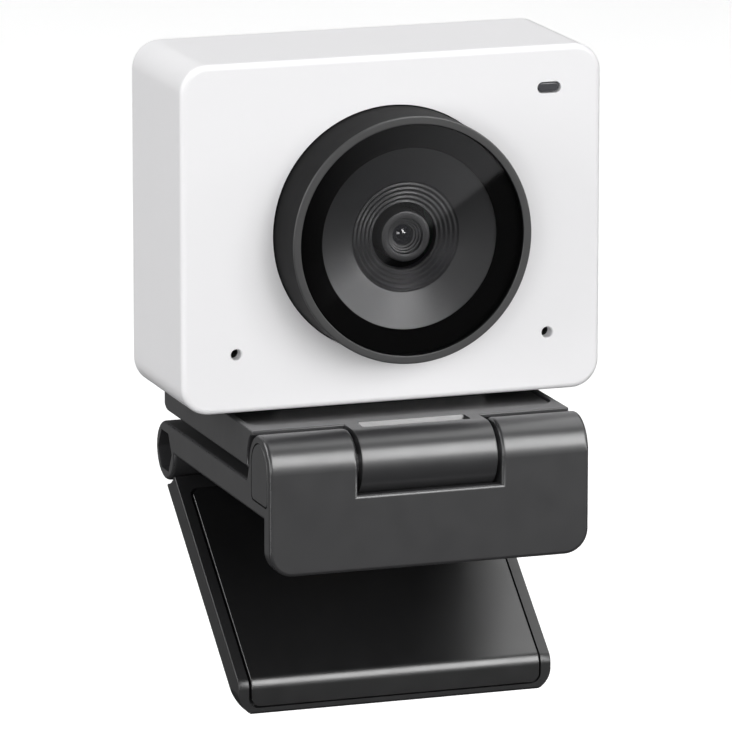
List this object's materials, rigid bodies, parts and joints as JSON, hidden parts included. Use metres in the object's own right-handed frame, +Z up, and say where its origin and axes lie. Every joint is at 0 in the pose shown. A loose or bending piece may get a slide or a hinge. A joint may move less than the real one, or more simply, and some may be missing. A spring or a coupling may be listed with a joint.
{
  "type": "clip-on webcam",
  "caption": "Compact webcam with a large lens ring on a tilting plate, held by a folding clip that hangs over a monitor's top edge.",
  "frame": {"origin": "face of the arm's rest pad, in the mid plane, straight below the camera's front face", "axes": "+Z up through the camera, -Y the way the lens looks, +X to the right of someone facing the lens"},
  "size_m": [0.057, 0.0482, 0.085],
  "materials": {
    "shell_white": "fine matte, white",
    "clip_black": "satin black",
    "ring_black": "satin dark grey",
    "lens_black": "matte black",
    "tape_black": "deep black",
    "pad_rubber": "smooth silicone",
    "cover_glass": "clear, polished",
    "optic_glass": "coated, polished",
    "steel": "turned steel",
    "magnet": "nickel plated",
    "brass": "turned brass",
    "aluminium": "stamped sheet",
    "circuit_board": "solder mask",
    "chip_black": "moulded epoxy",
    "thermal_pad": "soft gap filler",
    "light_window": "smoked diffuser"
  },
  "bodies": {
    "clip": {"clip_frame": "clip_black", "end_cap_left": "clip_black", "end_cap_right": "clip_black", "tilt_pin": "steel", "leg_screw": "steel", "leg_nut": "steel", "arm_pad": "pad_rubber", "lip_pad": "pad_rubber", "tripod_insert": "brass"},
    "camera": {"tilt_plate": "clip_black", "plate_pad": "pad_rubber", "plate_magnet_left": "magnet", "plate_magnet_right": "magnet", "tilt_washer_left": "steel", "tilt_washer_right": "steel", "front_shell": "shell_white", "rear_cover": "shell_white", "lens_ring": "ring_black", "cover_glass": "cover_glass", "glass_tape": "tape_black", "lens_hood": "ring_black", "lens_barrel": "lens_black", "front_lens": "optic_glass", "rear_lens": "optic_glass", "lens_holder": "lens_black", "infrared_filter": "optic_glass", "image_sensor": "chip_black", "main_board": "circuit_board", "processor": "chip_black", "thermal_pad": "thermal_pad", "heat_spreader": "aluminium", "board_screw_1": "steel", "board_screw_2": "steel", "board_screw_3": "steel", "board_screw_4": "steel", "usb_c_shell": "steel", "usb_c_tongue": "chip_black", "status_light_window": "light_window", "status_led": "light_window", "microphone_left": "steel", "microphone_right": "steel", "microphone_boot_left": "pad_rubber", "microphone_boot_right": "pad_rubber", "keeper_plate": "steel"},
    "leg": {"leg_frame": "clip_black", "leg_pad": "pad_rubber", "leg_washer_left": "steel", "leg_washer_right": "steel"}
  },
  "joints": [
    {"name": "camera_tilt", "type": "hinge", "parent": "clip", "child": "camera", "pos_m": [0, -0.0103, 0.0065], "axis": [1, 0, 0], "range_deg": [0, 90]},
    {"name": "leg_fold", "type": "hinge", "parent": "clip", "child": "leg", "pos_m": [0, 0.0297, 0.0001], "axis": [1, 0, 0], "range_deg": [-34, 80]}
  ]
}
